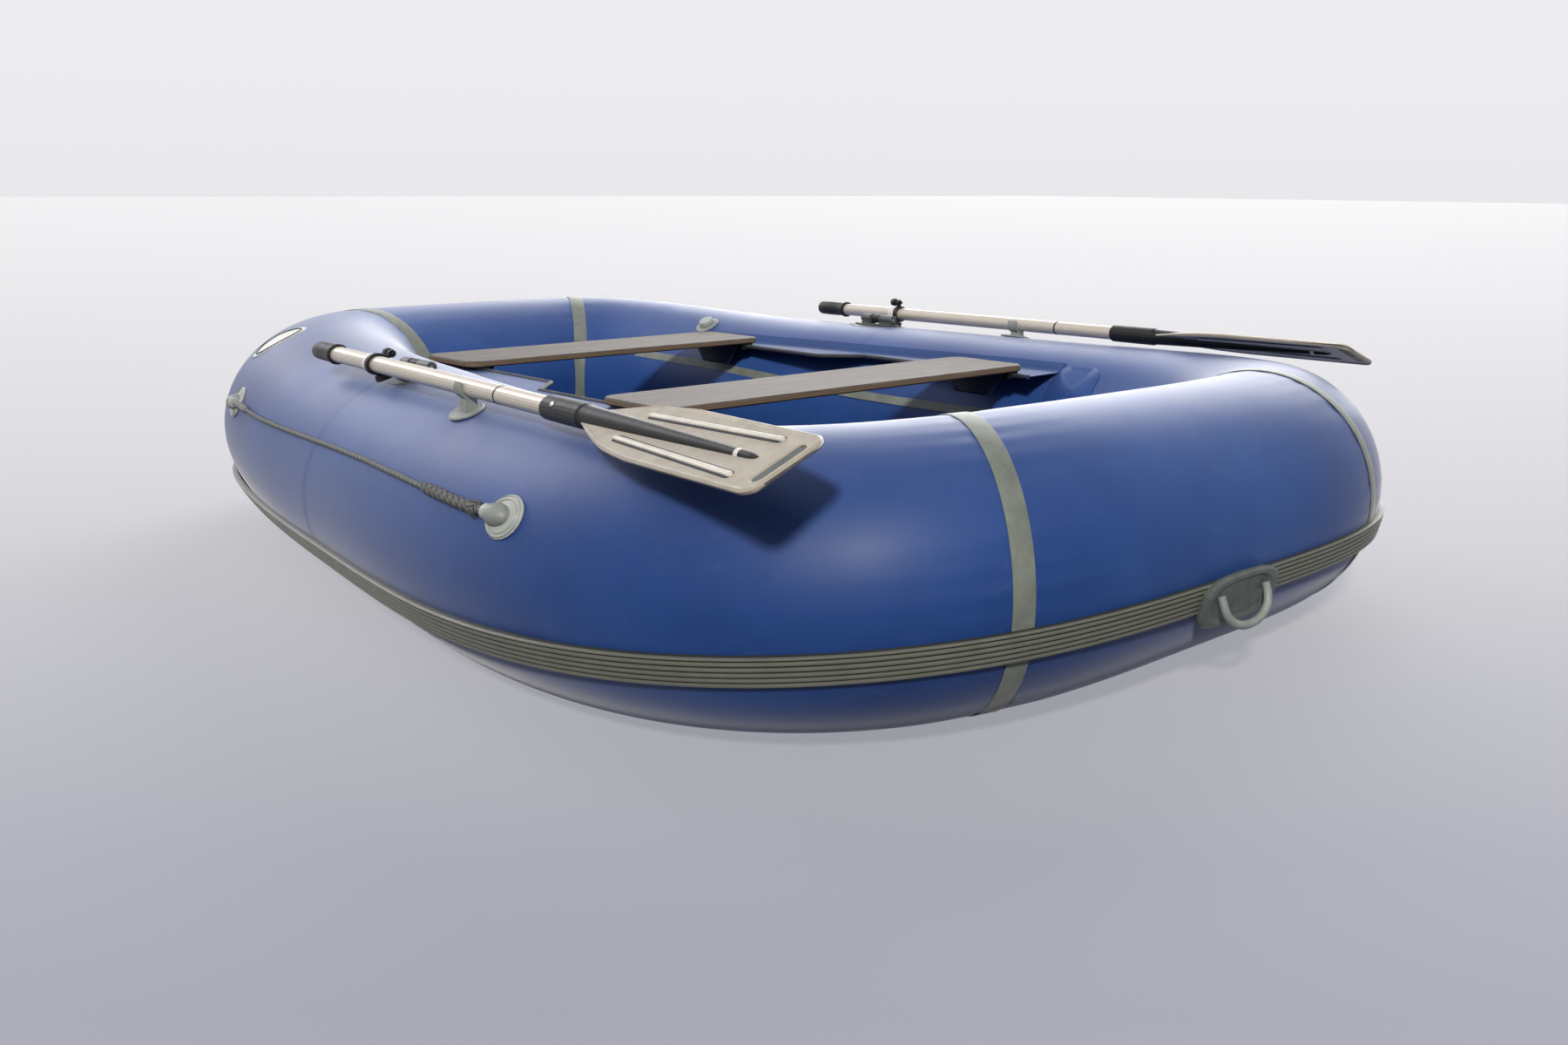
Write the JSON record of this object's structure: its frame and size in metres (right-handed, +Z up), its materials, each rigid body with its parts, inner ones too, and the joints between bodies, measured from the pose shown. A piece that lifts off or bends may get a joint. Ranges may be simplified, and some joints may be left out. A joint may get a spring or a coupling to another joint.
{
  "type": "inflatable boat",
  "caption": "Inflatable boat: a ring of air tubes round a fabric floor, with sliding wooden thwarts, swivelling rowlocks, stowed oars, a rubbing strake, a lifeline and a carrying handle.",
  "frame": {"origin": "on the ground under the middle of the tube ring's centreline, where the level middle of the hull rests; the stern handle makes the box's own middle lie 13 mm aft of it", "axes": "+X towards the bow, +Y towards the port side, which carries the lifeline, +Z up"},
  "size_m": [2.5141, 1.5182, 0.4362],
  "materials": {
    "clasp_knob_port": "satin",
    "clasp_knob_starboard": "satin",
    "clasp_port": "satin",
    "clasp_starboard": "satin",
    "floor": "matte coated fabric",
    "floor_tape": "matte, a little weathered",
    "inner_tape_port": "matte grey tape",
    "inner_tape_starboard": "matte grey tape",
    "lifeline": "braided",
    "oar_blade_port": "satin moulded plastic",
    "oar_blade_starboard": "satin moulded plastic",
    "oar_button_port": "brushed",
    "oar_button_starboard": "brushed",
    "oar_clip_port": "satin moulded plastic",
    "oar_clip_starboard": "satin moulded plastic",
    "oar_collar_port": "satin moulded plastic",
    "oar_collar_starboard": "satin moulded plastic",
    "oar_grip_port": "satin",
    "oar_grip_starboard": "satin",
    "oar_shaft_inner_port": "brushed",
    "oar_shaft_inner_starboard": "brushed",
    "oar_shaft_outer_port": "brushed",
    "oar_shaft_outer_starboard": "brushed",
    "oar_socket_port": "satin",
    "oar_socket_starboard": "satin",
    "rope_holder_aft": "matte, a little weathered",
    "rope_holder_bow": "matte, a little weathered",
    "rowlock_base_port": "satin moulded plastic",
    "rowlock_base_starboard": "satin moulded plastic",
    "rowlock_pad_port": "matte grey tape",
    "rowlock_pad_starboard": "matte grey tape",
    "rowlock_pin_port": "brushed",
    "rowlock_pin_starboard": "brushed",
    "rowlock_swivel_port": "satin moulded plastic",
    "rowlock_swivel_starboard": "satin moulded plastic",
    "seam_tape_bow_port": "matte grey tape",
    "seam_tape_bow_starboard": "matte grey tape",
    "seam_tape_stern_port": "matte grey tape",
    "seam_tape_stern_starboard": "matte grey tape",
    "seat_rail_port": "matte, a little weathered",
    "seat_rail_starboard": "matte, a little weathered",
    "side_disc": "satin",
    "stern_handle_bail": "satin moulded plastic",
    "stern_handle_pad": "matte, a little weathered",
    "strake_bow": "matte, a little weathered",
    "strake_stern": "matte, a little weathered",
    "thwart_aft": "weathered plywood",
    "thwart_aft_groove_port": "satin",
    "thwart_aft_groove_starboard": "satin",
    "thwart_bow": "weathered plywood",
    "thwart_bow_groove_port": "satin",
    "thwart_bow_groove_starboard": "satin",
    "tube_bow": "satin coated fabric, a little weathered",
    "tube_port": "satin coated fabric, a little weathered",
    "tube_starboard": "satin coated fabric, a little weathered",
    "tube_stern": "satin coated fabric, a little weathered",
    "valve_body": "matte, a little weathered",
    "valve_cap": "satin"
  },
  "bodies": {
    "knob_port": {"clasp_knob_port": "clasp_knob_port"},
    "knob_starboard": {"clasp_knob_starboard": "clasp_knob_starboard"},
    "oar_port": {"clasp_port": "clasp_port", "oar_blade_port": "oar_blade_port", "oar_collar_port": "oar_collar_port", "oar_grip_port": "oar_grip_port", "oar_shaft_inner_port": "oar_shaft_inner_port", "oar_shaft_outer_port": "oar_shaft_outer_port", "oar_socket_port": "oar_socket_port"},
    "oar_starboard": {"clasp_starboard": "clasp_starboard", "oar_blade_starboard": "oar_blade_starboard", "oar_collar_starboard": "oar_collar_starboard", "oar_grip_starboard": "oar_grip_starboard", "oar_shaft_inner_starboard": "oar_shaft_inner_starboard", "oar_shaft_outer_starboard": "oar_shaft_outer_starboard", "oar_socket_starboard": "oar_socket_starboard"},
    "hull": {"floor": "floor", "floor_tape": "floor_tape", "inner_tape_port": "inner_tape_port", "inner_tape_starboard": "inner_tape_starboard", "lifeline": "lifeline", "oar_clip_port": "oar_clip_port", "oar_clip_starboard": "oar_clip_starboard", "rope_holder_aft": "rope_holder_aft", "rope_holder_bow": "rope_holder_bow", "rowlock_base_port": "rowlock_base_port", "rowlock_base_starboard": "rowlock_base_starboard", "rowlock_pad_port": "rowlock_pad_port", "rowlock_pad_starboard": "rowlock_pad_starboard", "rowlock_pin_port": "rowlock_pin_port", "rowlock_pin_starboard": "rowlock_pin_starboard", "seam_tape_bow_port": "seam_tape_bow_port", "seam_tape_bow_starboard": "seam_tape_bow_starboard", "seam_tape_stern_port": "seam_tape_stern_port", "seam_tape_stern_starboard": "seam_tape_stern_starboard", "seat_rail_port": "seat_rail_port", "seat_rail_starboard": "seat_rail_starboard", "side_disc": "side_disc", "stern_handle_bail": "stern_handle_bail", "stern_handle_pad": "stern_handle_pad", "strake_bow": "strake_bow", "strake_stern": "strake_stern", "tube_bow": "tube_bow", "tube_port": "tube_port", "tube_starboard": "tube_starboard", "tube_stern": "tube_stern", "valve_body": "valve_body"},
    "button_port": {"oar_button_port": "oar_button_port"},
    "button_starboard": {"oar_button_starboard": "oar_button_starboard"},
    "swivel_port": {"rowlock_swivel_port": "rowlock_swivel_port"},
    "swivel_starboard": {"rowlock_swivel_starboard": "rowlock_swivel_starboard"},
    "aft_thwart": {"thwart_aft": "thwart_aft", "thwart_aft_groove_port": "thwart_aft_groove_port", "thwart_aft_groove_starboard": "thwart_aft_groove_starboard"},
    "bow_thwart": {"thwart_bow": "thwart_bow", "thwart_bow_groove_port": "thwart_bow_groove_port", "thwart_bow_groove_starboard": "thwart_bow_groove_starboard"},
    "valve_cap": {"valve_cap": "valve_cap"}
  },
  "joints": [
    {"name": "rowlock_lift_port", "type": "hinge", "parent": "hull", "child": "swivel_port", "pos_m": [0.06243, 0.54528, 0.3945], "axis": [1, 0, 0], "range_deg": [0, 25], "deforming": ["oar_clip_port"]},
    {"name": "oar_swing_port", "type": "hinge", "parent": "swivel_port", "child": "oar_port", "pos_m": [0.06243, 0.60828, 0.401], "axis": [-0.0164, -0.2919, -0.9563], "range_deg": [0, 125], "deforming": ["oar_clip_port"]},
    {"name": "clasp_knob_turn_port", "type": "hinge", "parent": "oar_port", "child": "knob_port", "pos_m": [0.0612, 0.58636, 0.41637], "axis": [-0.9984, 0.056, 0], "continuous": true},
    {"name": "oar_button_press_port", "type": "slide", "parent": "oar_port", "child": "button_port", "axis": [-0.0458, -0.8179, -0.5736], "range_m": [0, 0.0025], "stiffness_N_per_m": 500, "springref_m": -0.001},
    {"name": "rowlock_lift_starboard", "type": "hinge", "parent": "hull", "child": "swivel_starboard", "pos_m": [0.18218, -0.51383, 0.3945], "axis": [-1, 0, 0], "range_deg": [0, 25], "deforming": ["oar_clip_starboard"]},
    {"name": "oar_swing_starboard", "type": "hinge", "parent": "swivel_starboard", "child": "oar_starboard", "pos_m": [0.18218, -0.57683, 0.401], "axis": [0.0105, -0.2922, 0.9563], "range_deg": [0, 125], "deforming": ["oar_clip_starboard"]},
    {"name": "clasp_knob_turn_starboard", "type": "hinge", "parent": "oar_starboard", "child": "knob_starboard", "pos_m": [0.18206, -0.57356, 0.4276], "axis": [-0.9994, -0.036, 0], "continuous": true},
    {"name": "oar_button_press_starboard", "type": "slide", "parent": "oar_starboard", "child": "button_starboard", "axis": [-0.0295, 0.8186, -0.5736], "range_m": [0, 0.0025], "stiffness_N_per_m": 500, "springref_m": -0.001},
    {"name": "bow_thwart_slide", "type": "slide", "parent": "hull", "child": "bow_thwart", "axis": [1, 0, 0], "range_m": [-0.25, 0]},
    {"name": "aft_thwart_slide", "type": "slide", "parent": "hull", "child": "aft_thwart", "axis": [1, 0, 0], "range_m": [0, 0.25]},
    {"name": "valve_cap_turn", "type": "hinge", "parent": "hull", "child": "valve_cap", "pos_m": [0.59952, -0.34206, 0.36873], "axis": [-0.0782, 0.4784, 0.8746], "continuous": true}
  ]
}
